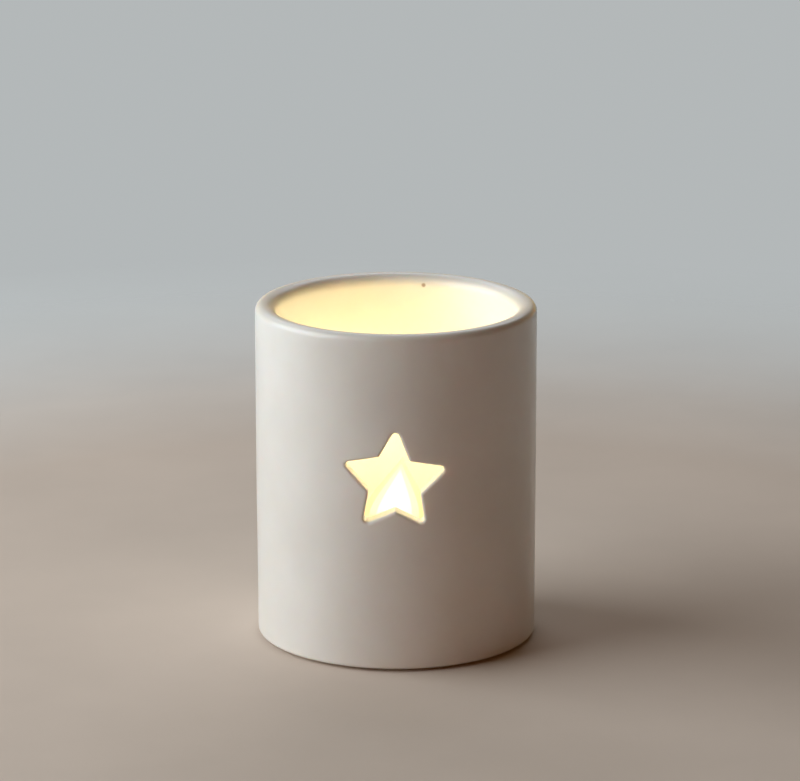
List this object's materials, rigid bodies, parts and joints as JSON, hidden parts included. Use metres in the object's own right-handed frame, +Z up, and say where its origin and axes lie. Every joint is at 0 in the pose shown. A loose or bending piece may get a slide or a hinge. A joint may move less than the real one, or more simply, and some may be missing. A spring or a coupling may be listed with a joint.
{
  "type": "tealight holder",
  "caption": "Round ceramic tealight holder, an open cylinder with a star window cut through its wall, holding a wax tealight in a metal cup.",
  "frame": {"origin": "centre of the underside of the foot ring, on the surface that the holder stands on", "axes": "+Z up along the pot's axis; -Y towards the front, where the star window is; +X to the right seen from the front"},
  "size_m": [0.07, 0.07, 0.0848],
  "materials": {
    "glazed_ceramic": "satin",
    "aluminium": "satin",
    "wax": "satin",
    "wick_cotton": "matte",
    "tinned_steel": "satin"
  },
  "bodies": {
    "holder": {"holder": "glazed_ceramic"},
    "tealight_cup": {"tealight_cup": "aluminium"},
    "candle": {"wax": "wax", "wick": "wick_cotton", "wick_sustainer": "tinned_steel"}
  },
  "joints": [
    {"name": "tealight_lift", "type": "slide", "parent": "holder", "child": "tealight_cup", "axis": [0, 0, 1], "range_m": [0, 0.085]},
    {"name": "candle_lift", "type": "slide", "parent": "tealight_cup", "child": "candle", "axis": [0, 0, 1], "range_m": [0, 0.02]}
  ]
}
